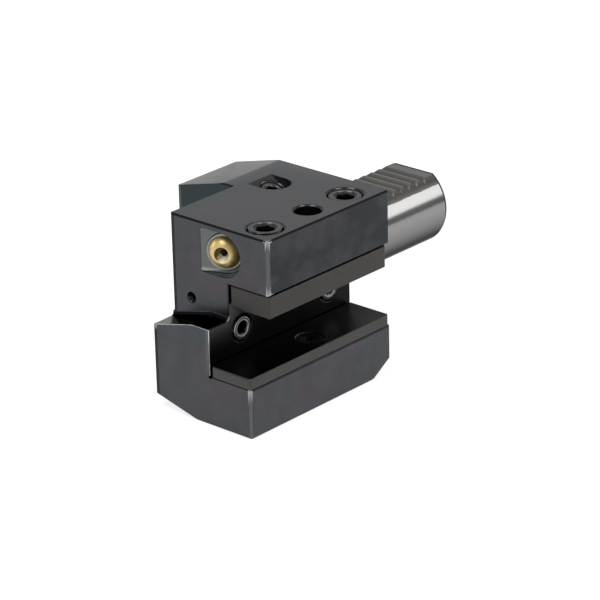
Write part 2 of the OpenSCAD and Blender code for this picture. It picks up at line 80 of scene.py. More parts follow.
# Faces of the body that its painted shade and rubbed spots lie on
BODY_RIGHT_X = 34.5
BODY_LEFT_X = -9.0
SLOT_WALL_X = 16.7
BLOCK_FRONT_Y = -60.0
JAW_FRONT_Y = -70.0
FLANGE_FRONT_Y = -29.4
BODY_TOP_Z = 28.0
BLOCK_MIDDLE_Z = 18.4
SLOT_TOP_Z = 8.9
LEDGE_Z = -4.0
SEAT_Z = -20.6

# Sizes that the boxes of the CAD nodes don't give
SHANK_R = 15.0
SHANK_FLAT_Z = 12.0
SHANK_GROUND_TO_Y = 53.8
BLACKENED_FROM_Z = 9.2
NOZZLE_TURN_DEG = 22.0
TOP_OUTLET_TURN_DEG = 17.0
BALL_R = 6.0
BALL_SINK = 1.9
RING_R = 6.5
RING_PROUD = 0.5
RING_LENGTH = 4.0
SEAL_SECTION_R = 0.9
RETAINER_R = 2.5
RETAINER_HEAD_H = 5.0
RETAINER_GRIP = 4.0
PLATE_SCREW_R = 2.5
SMALL_SCREW_PITCH = 0.8
SPRING_WIRE_R = 0.4
SPRING_TURNS = 4

# Hard edges, and how far they are rounded
HARD_EDGE_DEG = 13.5
FLAT_DEG = 0.6
EDGE_ROUNDING = 0.15
INSERT_ROUNDING = 0.1
UPRIGHT_ROUNDING = 1.2
LONG_UPRIGHT = 8.0


def frame_box(node):
    """The lowest corner, the highest corner and the middle of a CAD node, in millimetres."""
    low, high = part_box(node)
    low, high = low / MM, high / MM
    return low, high, (low + high) / 2


# Materials


class Surface:
    """A node material with one Principled shader, and helpers that add the nodes in front of it."""

    def __init__(self, name, **sockets):
        self.material = bpy.data.materials.new(name)
        self.material.use_nodes = True
        self.nodes = self.material.node_tree.nodes
        self.links = self.material.node_tree.links
        self.shader = self.nodes["Principled BSDF"]
        for socket, value in sockets.items():
            self.shader.inputs[socket.replace("_", " ")].default_value = value
        coordinates = self.add("ShaderNodeTexCoord")
        self.normal = coordinates.outputs["Normal"]
        self.place = self.scaled(coordinates.outputs["Object"], (1 / MM,) * 3)

    def add(self, kind, **settings):
        node = self.nodes.new(kind)
        for setting, value in settings.items():
            setattr(node, setting, value)
        return node

    def feed(self, socket, value):
        """Puts a link or a plain value into a socket."""
        if isinstance(value, bpy.types.NodeSocket):
            self.links.new(value, socket)
        else:
            socket.default_value = value

    def scaled(self, vector, factors):
        node = self.add("ShaderNodeVectorMath", operation="MULTIPLY")
        self.feed(node.inputs[0], vector)
        node.inputs[1].default_value = factors
        return node.outputs[0]

    def math(self, operation, a, b=0.0):
        node = self.add("ShaderNodeMath", operation=operation)
        self.feed(node.inputs[0], a)
        self.feed(node.inputs[1], b)
        return node.outputs[0]

    def shade(self, colour, factor):
        """A colour made lighter or darker by a factor."""
        node = self.add("ShaderNodeVectorMath", operation="SCALE")
        self.feed(node.inputs[0], colour)
        self.feed(node.inputs["Scale"], factor)
        return node.outputs[0]

    def axis(self, name, vector=None):
        """One of the coordinates X, Y and Z in millimetres, or that part of another vector."""
        node = self.add("ShaderNodeSeparateXYZ")
        self.feed(node.inputs[0], vector or self.place)
        return node.outputs[name]

    def noise(self, per_mm, detail=3.0, stretch=(1, 1, 1), vector=None):
        """Noise of 0 to 1 with about per_mm lumps in a millimetre, more of them along a stretched axis."""
        node = self.add("ShaderNodeTexNoise")
        self.feed(node.inputs["Vector"], self.scaled(vector or self.place, stretch))
        node.inputs["Scale"].default_value = per_mm
        node.inputs["Detail"].default_value = detail
        return node.outputs["Fac"]

    def remap(self, value, low, high, to_low=0.0, to_high=1.0):
        node = self.add("ShaderNodeMapRange")
        self.feed(node.inputs["Value"], value)
        limits = {"From Min": low, "From Max": high, "To Min": to_low, "To Max": to_high}
        for socket, limit in limits.items():
            self.feed(node.inputs[socket], limit)
        return node.outputs["Result"]

    def mix(self, share, a, b):
        """Blends two numbers, or two colours, by a share of the second."""
        if isinstance(a, (tuple, bpy.types.NodeSocketColor, bpy.types.NodeSocketVector)):
            node = self.add("ShaderNodeMix", data_type="RGBA")
            first, second, out = node.inputs[6], node.inputs[7], node.outputs[2]
        else:
            node = self.add("ShaderNodeMix", data_type="FLOAT")
            first, second, out = node.inputs[2], node.inputs[3], node.outputs[0]
        self.feed(node.inputs[0], share)
        self.feed(first, (*a, 1.0) if isinstance(a, tuple) else a)
        self.feed(second, (*b, 1.0) if isinstance(b, tuple) else b)
        return out

    def product(self, first, *others):
        for other in others:
            first = self.math("MULTIPLY", first, other)
        return first

    def window(self, value, low, high, soft=0.1):
        """1 between two limits and 0 outside them, with soft borders."""
        return self.product(self.remap(value, low - soft, low), self.remap(value, high + soft, high))

    def near(self, point, radius):
        """1 at a point in millimetres, and down to 0 at the radius round it."""
        gap = self.add("ShaderNodeVectorMath", operation="DISTANCE")
        self.feed(gap.inputs[0], self.place)
        gap.inputs[1].default_value = point
        return self.remap(gap.outputs["Value"], radius, 0.3 * radius)

    def finish(self, colour, roughness, height=None, depth_mm=0.01):
        """Feeds the shader, with height as a bump that is depth_mm deep."""
        self.feed(self.shader.inputs["Base Color"], colour)
        self.feed(self.shader.inputs["Roughness"], roughness)
        if height is not None:
            bump = self.add("ShaderNodeBump")
            bump.inputs["Strength"].default_value = 1.0
            bump.inputs["Distance"].default_value = depth_mm * MM
            self.feed(bump.inputs["Height"], height)
            self.feed(self.shader.inputs["Normal"], bump.outputs["Normal"])
        return self.material


def blackened(name, dark, light, rough, shade_from_z, shade_to_z):
    """Ground and blackened steel with soft blotches and faint grinding lines.

    A face between the two heights gets painted shade: near black, and lighter towards the back.
    """
    s = Surface(name, Metallic=1.0)
    blotch = s.noise(0.09, detail=5.0)
    grain = s.noise(3.0, detail=4.0)
    lines = s.noise(1.0, detail=3.0, stretch=(4.0, 0.12, 4.0))
    tone = s.mix(0.3, s.mix(0.45, blotch, lines), grain)
    colour = s.mix(s.remap(tone, 0.36, 0.64), dark, light)
    roughness = s.remap(s.mix(0.5, blotch, grain), 0.3, 0.7, rough - 0.06, rough + 0.08)
    # painted shade and dark reflection on the face between the two heights
    face = s.window(s.axis("Z"), shade_from_z, shade_to_z, 0.02)
    painted_shade = s.mix(blotch, (0.004, 0.004, 0.005), (0.012, 0.012, 0.013))
    painted_shade = s.mix(s.remap(s.axis("Y"), -26.0, -8.0), painted_shade, (0.06, 0.06, 0.059))
    colour = s.mix(face, colour, painted_shade)
    roughness = s.mix(face, roughness, s.remap(blotch, 0.3, 0.7, 0.28, 0.36))
    return s.finish(colour, roughness, s.mix(0.4, grain, lines), depth_mm=0.003)


def dark_edge(name):
    """The edges of the loose parts in the slot, a little duller than their faces."""
    s = Surface(name, Metallic=1.0)
    grain = s.noise(4.0)
    colour = s.mix(s.noise(0.3, detail=4.0), (0.05, 0.049, 0.047), (0.08, 0.078, 0.075))
    return s.finish(colour, s.remap(grain, 0.3, 0.7, 0.36, 0.46), grain, 0.004)


class BodySurface(Surface):
    """A material of the body, with its coordinates and patterns at hand."""

    def __init__(self, name):
        super().__init__(name, Metallic=1.0)
        self.x, self.y, self.z = (self.axis(axis) for axis in "XYZ")
        self.blotch = self.noise(0.15, detail=5.0)
        self.lines = self.noise(1.0, detail=3.0, stretch=(3.5, 0.1, 3.5))

    def block_end(self, from_middle, to_low=0.0, to_high=1.0):
        """Rises over the last part of the way from the middle of the block's height to its ends."""
        off = self.math("ABSOLUTE", self.math("SUBTRACT", self.z, BLOCK_MIDDLE_Z))
        return self.remap(off, from_middle, 9.2, to_low, to_high)


def block_shade_and_wear(s, black):
    """Paints shade on the right face, also in blotches, paints the upper edges and the flange dark as shade,
    and rubs the front chamfers light.
    """
    # painted shade: the right face darker, and darker and bluer still in blotches
    side = s.product(s.remap(s.x, BODY_RIGHT_X - 0.2, BODY_RIGHT_X - 0.1),
                     s.remap(s.z, SLOT_TOP_Z - 0.9, SLOT_TOP_Z + 0.1))
    shade_blotches = s.remap(s.noise(0.07, detail=3.0, stretch=(1.0, 1.0, 1.4)), 0.58, 0.4, 0.3, 1.0)
    black = s.mix(side, black, s.shade(black, 0.83))
    black = s.mix(s.product(side, shade_blotches), black, (0.027, 0.031, 0.034))

    # painted shade: dark lines along the block's upper right and upper front edges
    right_edge, front_edge = BODY_RIGHT_X + BODY_TOP_Z, BODY_TOP_Z - BLOCK_FRONT_Y
    shaded_upper_edges = s.math("MAXIMUM", s.remap(s.math("ADD", s.x, s.z), right_edge - 0.7, right_edge - 0.6),
                         s.remap(s.math("SUBTRACT", s.z, s.y), front_edge - 0.7, front_edge - 0.6))
    black = s.mix(s.product(shaded_upper_edges, s.remap(s.y, -0.3, -0.6)), black, (0.018, 0.018, 0.02))

    facing_x, facing_y = s.axis("X", s.normal), s.axis("Y", s.normal)
    chamfer = s.product(s.remap(facing_x, 0.55, 0.65), s.remap(facing_y, -0.55, -0.65),
                        s.remap(s.x, BODY_RIGHT_X - 2.5, BODY_RIGHT_X - 2.1))
    ends = s.mix(s.remap(s.z, 0.0, 1.0), s.remap(s.z, SEAT_Z - 4.4, SEAT_Z - 0.6), s.block_end(6.5))
    black = s.mix(chamfer, black, s.mix(ends, (0.1, 0.102, 0.105), (0.27, 0.275, 0.28)))

    # painted shade on the flange's front
    flange = s.product(s.window(s.y, FLANGE_FRONT_Y - 0.3, FLANGE_FRONT_Y + 0.4),
                       s.remap(s.x, BODY_LEFT_X + 0.2, BODY_LEFT_X))
    return s.mix(flange, black, (0.03, 0.039, 0.042))


def jaw_wear_and_shade(s, black):
    """Rubs a band along the jaw's inner edge light, and paints shade in the slot's inside: near black,
    lighter towards its open front.
    """
    band = s.product(s.remap(s.x, SLOT_WALL_X - 2.1, SLOT_WALL_X - 0.5),
                     s.remap(s.x, SLOT_WALL_X + 0.3, SLOT_WALL_X - 0.1),
                     s.remap(s.y, JAW_FRONT_Y + 0.2, JAW_FRONT_Y + 0.1))
    upwards = s.product(s.remap(s.z, SEAT_Z, SEAT_Z + 2.1, 0.0, 0.5),
                        s.remap(s.z, SEAT_Z + 4.6, LEDGE_Z - 0.2, 1.0, 2.0))
    rubbed = s.product(band, upwards, s.remap(s.blotch, 0.3, 0.6, 0.4, 0.8))
    black = s.mix(rubbed, black, (0.13, 0.135, 0.14))

    # painted shade: the slot's inside near black, lighter towards the front and the top
    slot = s.product(s.window(s.x, SLOT_WALL_X - 0.7, BODY_RIGHT_X - 0.3),
                     s.window(s.y, JAW_FRONT_Y + 0.1, 0.0, 0.05),
                     s.window(s.z, SEAT_Z - 0.3, SLOT_TOP_Z + 0.1, 0.05))
    front = s.product(s.remap(s.y, BLOCK_FRONT_Y + 7.0, BLOCK_FRONT_Y - 1.5),
                      s.remap(s.z, LEDGE_Z - 9.0, LEDGE_Z + 1.0))
    return s.mix(slot, black, s.mix(front, (0.004, 0.004, 0.005), (0.05, 0.049, 0.053)))


def ledge_shadow_mask(s):
    """The part of the jaw's top that lies in front of the web and right of a slanting line: where the web's
    shadow is painted.
    """
    ledge_shadow = s.product(s.remap(s.x, SLOT_WALL_X - 0.7, SLOT_WALL_X - 0.9),
                      s.window(s.y, JAW_FRONT_Y + 0.4, BLOCK_FRONT_Y - 0.1, 0.1),
                      s.remap(s.z, LEDGE_Z - 8.0, LEDGE_Z - 7.0))
    # the slanting edge of the painted shadow
    shadow_slant = 0.895
    along = s.math("ADD", s.x, s.math("MULTIPLY", s.math("SUBTRACT", s.y, BLOCK_FRONT_Y), shadow_slant))
    return s.product(ledge_shadow, s.remap(along, BODY_LEFT_X - 0.8, BODY_LEFT_X + 0.4))


def pocket_with_sheen(s, black):
    """The nozzle's pocket in the block's front, with milling lines: lighter than the block, and lightest at
    its foot, where a reflection is painted.
    """
    milled_sheen = s.mix(s.remap(s.lines, 0.36, 0.64), (0.1, 0.11, 0.108), (0.13, 0.14, 0.138))
    # painted reflection: the pocket's foot lighter still
    milled_sheen = s.mix(s.remap(s.z, 12.4, 11.6), milled_sheen, (0.24, 0.26, 0.25))
    pocket = s.product(s.window(s.x, 0.0, 23.0), s.window(s.z, 9.6, 27.4),
                       s.window(s.y, BLOCK_FRONT_Y + 0.05, BLOCK_FRONT_Y + 7.0, 0.02))
    return s.mix(pocket, black, milled_sheen)


def toothed_flat(s, radius):
    """The mask and the colour of the toothed flat: light lands, grooves that darken towards their bottoms as
    painted shade, and light groove ends.
    """
    mask = s.product(s.remap(s.y, 0.3, 0.8), s.remap(s.z, BLACKENED_FROM_Z - 0.7, BLACKENED_FROM_Z))
    # painted shade: darker towards the bottoms of the grooves
    height = s.remap(s.z, SHANK_FLAT_Z - 1.4, SHANK_FLAT_Z - 0.1)
    shaded_teeth = s.mix(height, (0.095, 0.09, 0.083), (0.19, 0.182, 0.172))
    groove_ends = s.product(s.remap(s.x, 8.4, 9.6), s.remap(radius, SHANK_R - 0.1, SHANK_R - 0.3))
    shaded_teeth = s.mix(s.product(groove_ends, s.remap(s.blotch, 0.3, 0.6, 0.4, 1.0)), shaded_teeth, (0.36, 0.35, 0.34))
    return mask, s.shade(shaded_teeth, s.remap(s.lines, 0.3, 0.7, 0.85, 1.1))


def body_steel():
    """Blackened steel of varied tone, with a nozzle pocket that shows milling lines, a toothed flat and a
    ground shank, and painted shade, shadow and reflection on several faces.
    """
    s = BodySurface("body_steel")
    radius = s.math("SQRT", s.math("ADD", s.math("MULTIPLY", s.x, s.x), s.math("MULTIPLY", s.z, s.z)))
    grain = s.noise(3.0, detail=4.0)
    tint = s.mix(s.remap(s.noise(0.045, detail=3.0), 0.42, 0.58), (0.06, 0.065, 0.07), (0.069, 0.064, 0.072))
    tone = s.mix(0.25, s.mix(0.3, s.blotch, s.lines), grain)
    black = s.mix(s.remap(tone, 0.3, 0.7), s.shade(tint, 0.82), s.shade(tint, 1.16))
    black = jaw_wear_and_shade(s, block_shade_and_wear(s, black))
    ledge_shadow = ledge_shadow_mask(s)
    # painted shadow and dark reflection: the ledge near black
    black = pocket_with_sheen(s, s.mix(ledge_shadow, black, (0.007, 0.007, 0.008)))
    toothed, shaded_teeth = toothed_flat(s, radius)
    black = s.mix(toothed, black, shaded_teeth)
    lead = s.remap(s.y, SHANK_GROUND_TO_Y, SHANK_GROUND_TO_Y + 0.1)
    black = s.mix(lead, black, (0.012, 0.012, 0.013))
    black_rough = s.remap(s.mix(0.5, s.blotch, grain), 0.3, 0.7, 0.24, 0.32)
    black_rough = s.mix(toothed, s.mix(ledge_shadow, black_rough, 0.2), 0.32)

    rings = s.noise(1.0, detail=4.0, stretch=(0.12, 9.0, 0.12))
    ground_with_shade = s.mix(s.remap(rings, 0.3, 0.7), (0.25, 0.247, 0.245), (0.28, 0.277, 0.275))
    # painted shade: the ground shank darker towards its underside
    ground_with_shade = s.mix(s.remap(s.z, 1.0, -10.0), ground_with_shade, (0.17, 0.166, 0.163))
    bright_rough = s.remap(rings, 0.3, 0.7, 0.16, 0.2)
    rim = s.math("ADD", s.z, s.remap(s.noise(0.5), 0.3, 0.7, -0.12, 0.12))
    ground = s.product(s.remap(radius, SHANK_R - 0.2, SHANK_R - 0.1),
                       s.window(s.y, 0.05, SHANK_GROUND_TO_Y, 0.05),
                       s.remap(rim, BLACKENED_FROM_Z, BLACKENED_FROM_Z - 0.2))
    # the ledge also reflects less at glancing angles, to keep its painted shadow dark
    glancing = s.mix(ground, s.mix(ledge_shadow, (1.0, 1.0, 1.0), (0.4, 0.4, 0.4)), (0.25, 0.25, 0.25))
    s.feed(s.shader.inputs["Specular Tint"], glancing)
    height = s.mix(ground, s.mix(0.4, grain, s.lines), rings)
    return s.finish(s.mix(ground, black, ground_with_shade), s.mix(ground, black_rough, bright_rough), height, 0.004)


def body_edge_wear_and_shade():
    """The body's edges: painted dark as shade, but rubbed down to bare metal at the corners of the front."""
    s = BodySurface("body_edge_wear_and_shade")
    at_right = s.remap(s.x, BODY_RIGHT_X - 2.3, BODY_RIGHT_X - 1.7)
    block = s.product(at_right, s.window(s.y, BLOCK_FRONT_Y - 1.0, BLOCK_FRONT_Y + 2.2),
                      s.remap(s.z, SLOT_TOP_Z - 0.9, SLOT_TOP_Z + 0.1), s.block_end(5.5, 0.12, 0.8))
    jaw_front = s.remap(s.y, JAW_FRONT_Y + 0.8, JAW_FRONT_Y + 0.4)
    jaw_top = s.product(jaw_front, s.remap(s.z, LEDGE_Z - 6.0, LEDGE_Z - 4.0),
                        s.remap(s.x, SLOT_WALL_X + 0.5, SLOT_WALL_X + 0.1))
    jaw_inside = s.product(jaw_front, s.window(s.x, SLOT_WALL_X - 1.1, SLOT_WALL_X + 0.5),
                           s.window(s.z, SEAT_Z + 0.6, LEDGE_Z - 0.8), 0.5)
    jaw_corner = s.product(s.remap(s.y, JAW_FRONT_Y + 1.2, JAW_FRONT_Y + 0.8),
                           s.remap(s.x, BODY_RIGHT_X - 1.3, BODY_RIGHT_X - 0.9),
                           s.remap(s.z, SEAT_Z - 5.4, SEAT_Z - 0.6, 0.14, 0.8))
    left = s.product(s.remap(s.x, BODY_LEFT_X + 1.5, BODY_LEFT_X + 1.0),
                     s.remap(s.axis("Z", s.normal), 0.3, 0.2), 0.08)
    web_foot = s.near((SLOT_WALL_X - 0.3, BLOCK_FRONT_Y, LEDGE_Z), 2.0)
    wear = left
    for zone in (block, jaw_top, jaw_inside, jaw_corner, web_foot):
        wear = s.math("MAXIMUM", wear, zone)
    wear = s.product(wear, s.remap(s.noise(0.5, detail=5.0), 0.3, 0.52, 0.45, 1.0))
    # painted shade: the edges near black where they are not rubbed bare
    colour = s.mix(wear, (0.022, 0.022, 0.024), (0.58, 0.59, 0.59))
    return s.finish(colour, s.remap(wear, 0.0, 0.5, 0.5, 0.3), s.noise(4.0), 0.004)


def turned(name, dark, light, rough, rings_per_mm=6.0):
    """Turned metal: fine rings round the piece's own Z axis, and a softer tone over its surface."""
    s = Surface(name, Metallic=1.0)
    x, y, z = (s.axis(axis) for axis in "XYZ")
    radius = s.math("SQRT", s.math("ADD", s.math("MULTIPLY", x, x), s.math("MULTIPLY", y, y)))
    across = s.add("ShaderNodeCombineXYZ")
    s.feed(across.inputs["X"], radius)
    s.feed(across.inputs["Y"], z)
    rings = s.noise(rings_per_mm, detail=3.0, vector=across.outputs[0])
    cloud = s.noise(0.4, detail=4.0)
    colour = s.mix(s.remap(s.mix(0.5, rings, cloud), 0.36, 0.64), dark, light)
    return s.finish(colour, s.remap(cloud, 0.3, 0.7, rough - 0.05, rough + 0.07), rings, 0.006)


def mouth_brass():
    """The conical mouth of the nozzle: painted shade at its upper left and a painted highlight at its lower
    right.
    """
    s = Surface("nozzle_mouth_shade_and_highlight", Metallic=0.5)
    across = s.math("SUBTRACT", s.axis("X"), s.axis("Y"))
    across = s.math("ADD", across, s.remap(s.noise(0.9, detail=4.0), 0.3, 0.7, -0.6, 0.6))
    # painted shade at the upper left, painted highlight at the lower right
    colour = s.mix(s.remap(across, -0.9, 1.0), (0.13, 0.08, 0.03), (1.0, 0.93, 0.7))
    return s.finish(colour, 0.5, s.noise(4.0), 0.004)


def rubber():
    s = Surface("seal_rubber", Metallic=0.0)
    grain = s.noise(5.0)
    colour = s.mix(grain, (0.012, 0.012, 0.013), (0.03, 0.03, 0.03))
    return s.finish(colour, s.remap(grain, 0.3, 0.7, 0.5, 0.65), grain, 0.01)


# Finish of the CAD nodes that stay


def geometry_group(name, make_nodes):
    """A group of geometry nodes that work on the geometry one after the other."""
    group = bpy.data.node_groups.new(name, "GeometryNodeTree")
    group.interface.new_socket("Geometry", in_out="INPUT", socket_type="NodeSocketGeometry")
    group.interface.new_socket("Geometry", in_out="OUTPUT", socket_type="NodeSocketGeometry")
    chain = [group.nodes.new("NodeGroupInput"), *make_nodes(group.nodes, group.links),
             group.nodes.new("NodeGroupOutput")]
    for before, after in zip(chain, chain[1:]):
        group.links.new(before.outputs["Geometry"], after.inputs["Geometry"])
    return group


def compared(nodes, links, value, operation, limit):
    node = nodes.new("FunctionNodeCompare")
    node.operation = operation
    node.inputs["B"].default_value = limit
    links.new(value, node.inputs["A"])
    return node.outputs["Result"]


def hard_edge(nodes, links):
    """True on an edge whose faces meet at more than a small angle."""
    angle = nodes.new("GeometryNodeInputMeshEdgeAngle").outputs["Unsigned Angle"]
    return compared(nodes, links, angle, "GREATER_THAN", math.radians(HARD_EDGE_DEG))


def sharpen_hard_edges(nodes, links):
    """Joins the faces of an imported mesh, and shades it smooth but for its hard edges."""
    merge = nodes.new("GeometryNodeMergeByDistance")
    merge.inputs["Distance"].default_value = 1e-6
    forget = nodes.new("GeometryNodeRemoveAttribute")
    forget.inputs["Name"].default_value = "custom_normal"
    faces = nodes.new("GeometryNodeSetShadeSmooth")
    edges = nodes.new("GeometryNodeSetShadeSmooth")
    edges.domain = "EDGE"
    edges.inputs["Shade Smooth"].default_value = False
    links.new(hard_edge(nodes, links), edges.inputs["Selection"])
    return [merge, forget, faces, edges]


def share_rounding(nodes, links):
    """Rounds the block's hard edges a little, its long upright ones at the left more, the shank's not."""

    def product(a, *others):
        for b in others:
            node = nodes.new("ShaderNodeMath")
            node.operation = "MULTIPLY"
            links.new(a, node.inputs[0])
            links.new(b, node.inputs[1])
            a = node.outputs[0]
        return a

    place = nodes.new("ShaderNodeSeparateXYZ")
    links.new(nodes.new("GeometryNodeInputPosition").outputs[0], place.inputs[0])
    ends = nodes.new("GeometryNodeInputMeshEdgeVertices")
    along = nodes.new("ShaderNodeVectorMath")
    along.operation = "SUBTRACT"
    links.new(ends.outputs["Position 1"], along.inputs[0])
    links.new(ends.outputs["Position 2"], along.inputs[1])
    size = nodes.new("ShaderNodeVectorMath")
    size.operation = "ABSOLUTE"
    links.new(along.outputs[0], size.inputs[0])
    rise = nodes.new("ShaderNodeSeparateXYZ")
    links.new(size.outputs[0], rise.inputs[0])
    upright = product(compared(nodes, links, rise.outputs["Z"], "GREATER_THAN", LONG_UPRIGHT * MM),
                      compared(nodes, links, place.outputs["X"], "LESS_THAN", (BODY_LEFT_X + 1.5) * MM),
                      compared(nodes, links, place.outputs["Y"], "LESS_THAN", (FLANGE_FRONT_Y + 0.4) * MM))
    share = nodes.new("ShaderNodeMapRange")
    share.inputs["To Min"].default_value = EDGE_ROUNDING / UPRIGHT_ROUNDING
    links.new(upright, share.inputs["Value"])
    off_shank = compared(nodes, links, place.outputs["Y"], "LESS_THAN", 0.3 * MM)
    store = nodes.new("GeometryNodeStoreNamedAttribute")
    store.domain = "EDGE"
    store.inputs["Name"].default_value = "bevel_weight_edge"
    links.new(product(share.outputs["Result"], off_shank, hard_edge(nodes, links)), store.inputs["Value"])
    return [store]


def dress_cad(node, material, edge_material, edge_mm, groups):
    """Gives a CAD node its material, and small rounded edges that take the edge material."""
    piece = frame["nodes"][node]
    piece.data.materials.clear()
    piece.data.materials.append(material)
    piece.data.materials.append(edge_material)
    hard_edges, edge_shares = groups
    piece.modifiers.new("hard_edges", "NODES").node_group = hard_edges
    flat = piece.modifiers.new("flat_faces", "DECIMATE")
    flat.decimate_type = "DISSOLVE"
    flat.angle_limit = math.radians(FLAT_DEG)
    piece.modifiers.new("edge_shares", "NODES").node_group = edge_shares
    rounding = piece.modifiers.new("rounded_edges", "BEVEL")
    rounding.width = edge_mm * UPRIGHT_ROUNDING / EDGE_ROUNDING * MM
    rounding.segments = 2
    rounding.limit_method = "WEIGHT"
    rounding.material = 1
    rounding.harden_normals = True
    rounding.use_clamp_overlap = False


# Pieces of stacked rings

SEGMENTS = 48


def circle(radius, z):
    """A ring of points round the Z axis."""
    return [(radius * math.cos(TURN * i / SEGMENTS), radius * math.sin(TURN * i / SEGMENTS), z)
            for i in range(SEGMENTS)]


def hex_radius(i, flats):
    """Distance from the axis to the wall of a hexagonal socket at the ring's point i."""
    sixth = TURN / 6
    return flats / 2 / math.cos(TURN * i / SEGMENTS % sixth - sixth / 2)


def hexagon(flats, z, mouth_r=None, slope=0.0):
    """A hexagonal ring of points. Under a conical mouth, its corners lie higher than its flats."""
    points = []
    for i in range(SEGMENTS):
        r = hex_radius(i, flats)
        drop = 0.0 if mouth_r is None else (mouth_r - r) * slope
        points.append((r * math.cos(TURN * i / SEGMENTS), r * math.sin(TURN * i / SEGMENTS), z - drop))
    return points


def thread_ring(outer, pitch, z, limit):
    """A ring of points on a screw thread with flat crests and roots, no further out than limit."""
    depth = 0.6134 * pitch
    points = []
    for i in range(SEGMENTS):
        phase = (z / pitch - i / SEGMENTS) % 1.0
        valley = min(1.0, max(0.0, (abs(2 * phase - 1) - 0.125) / 0.625))
        r = min(outer - depth * valley, limit)
        points.append((r * math.cos(TURN * i / SEGMENTS), r * math.sin(TURN * i / SEGMENTS), z))
    return points


def mesh_piece(name, points, faces, place, material, sharp_deg=32.0):
    """Makes a piece from points in millimetres in its own frame, and puts it in its place."""
    mesh = bpy.data.meshes.new(name)
    mesh.from_pydata([Vector(p) * MM for p in points], [], faces)
    mesh.polygons.foreach_set("use_smooth", [True] * len(mesh.polygons))
    mesh.set_sharp_from_angle(angle=math.radians(sharp_deg))
    mesh.materials.append(material)
    piece = bpy.data.objects.new(name, mesh)
    bpy.context.scene.collection.objects.link(piece)
    piece.matrix_world = place
    return piece


def stack(name, rings, place, material, closed=False, band_material=None, bands=()):
    """A skin over rings of points, from the lowest outer ring up and in.

    It ends in flat caps, or meets its start. The faces from each ring in bands to the next ring take the
    band material.
    """
    points = [p for ring in rings for p in ring]
    count = len(rings)
    faces = []
    for k in range(count if closed else count - 1):
        low, high = k * SEGMENTS, (k + 1) % count * SEGMENTS
        for i in range(SEGMENTS):
            j = (i + 1) % SEGMENTS
            faces.append((low + i, low + j, high + j, high + i))
    if not closed:
        faces.append(tuple(reversed(range(SEGMENTS))))
        faces.append(tuple(range((count - 1) * SEGMENTS, count * SEGMENTS)))
    piece = mesh_piece(name, points, faces, place, material)
    if band_material:
        piece.data.materials.append(band_material)
        for k in bands:
            for face in piece.data.polygons[k * SEGMENTS:(k + 1) * SEGMENTS]:
                face.material_index = 1
    return piece


def placed(at, turn=Matrix.Identity(3)):
    """The matrix of a piece whose own frame starts at a point in millimetres."""
    return Matrix.Translation(Vector(at) * MM) @ turn.to_4x4()


def tube(name, path, radius, place, material, sides=16, closed=False, flat_z=None):
    """A round wire or ring along a path. flat_z holds the two heights at which its ends are ground flat."""
    points = []
    count = len(path)
    for k, p in enumerate(path):
        before = path[(k - 1) % count] if closed or k else p
        after = path[(k + 1) % count] if closed or k < count - 1 else p
        along = (Vector(after) - Vector(before)).normalized()
        out = Vector((p[0], p[1], 0)).normalized()
        side = along.cross(out).normalized()
        for i in range(sides):
            a = TURN * i / sides
            q = Vector(p) + radius * (math.cos(a) * out + math.sin(a) * side)
            if flat_z:
                q.z = min(max(q.z, flat_z[0]), flat_z[1])
            points.append(q)
    faces = []
    for k in range(count if closed else count - 1):
        low, high = k * sides, (k + 1) % count * sides
        for i in range(sides):
            j = (i + 1) % sides
            faces.append((low + i, high + i, high + j, low + j))
    if not closed:
        faces.append(tuple(range(sides)))
        faces.append(tuple(reversed(range((count - 1) * sides, count * sides))))
    return mesh_piece(name, points, faces, place, material)


# Screws and plugs


# Rubbed rims of a set screw: how far out from the rim's radius, and how far down from the screw's end
OUTER_RIM = ((0.12, 0.16), (0.0, 0.05), (-0.15, 0.0), (-0.3, 0.03))
INNER_RIM = ((0.3, 0.03), (0.12, 0.0), (-0.12, 0.06), (-0.22, 0.2))
SINK_DEPTH = 0.5
SINK_SLOPE = 0.6


def socket_mouth_r(flats):
    """Radius of the conical mouth of a hexagon socket, a little over its corners."""
    return flats / 2 / math.cos(math.pi / 6) + 0.15


def socket_rings(flats, depth, z):
    """The rings of a hexagon socket with a conical mouth, from z down to its drilled bottom."""
    mouth_r = socket_mouth_r(flats)
    floor_z = z - depth
    return [circle(mouth_r, z), hexagon(flats, z, mouth_r, math.tan(math.radians(30))),
            hexagon(flats, floor_z), circle(flats / 2 - 0.05, floor_z), circle(0.05, floor_z - flats / 6)]


def thread_rings(outer, pitch, z_from, z_to, chamfer):
    """Rings up a thread from z_from to z_to, with a chamfer at each end."""
    steps = max(2, round((z_to - z_from) / pitch * 10))
    rings = []
    for k in range(steps + 1):
        z = z_from + (z_to - z_from) * k / steps
        limit = outer - max(0.0, chamfer - (z - z_from), chamfer - (z_to - z))
        rings.append(thread_ring(outer, pitch, z, limit))
    return rings


def set_screw(node, axis_turn, length, radius, pitch, flats, depth, rims, materials):
    """A headless socket screw that stands for a CAD node. Its own frame lies in the screw's middle.

    Its end has a rubbed rim round each of the two radii in rims, and a countersink down to the socket.
    """
    top = length / 2
    chamfer = 0.6 * pitch
    outer, inner = rims
    rings = [circle(radius - chamfer - 0.4, -top)]
    rings += thread_rings(radius, pitch, -top, top - (radius - outer), chamfer)
    outer_at = len(rings)
    inner_at = outer_at + len(OUTER_RIM)
    rings += [circle(outer + out, top - down) for out, down in OUTER_RIM]
    rings += [circle(inner + out, top - down) for out, down in INNER_RIM]
    foot_out, foot_down = INNER_RIM[-1]
    sink_z = top - foot_down - SINK_SLOPE * (inner + foot_out - socket_mouth_r(flats))
    rings += socket_rings(flats, depth - SINK_DEPTH, sink_z)
    bands = [outer_at, outer_at + 1, inner_at, inner_at + 1, inner_at + 2]
    return stack(node + "_threaded", rings, placed(frame_box(node)[2], axis_turn), materials[0],
                 band_material=materials[1], bands=bands)


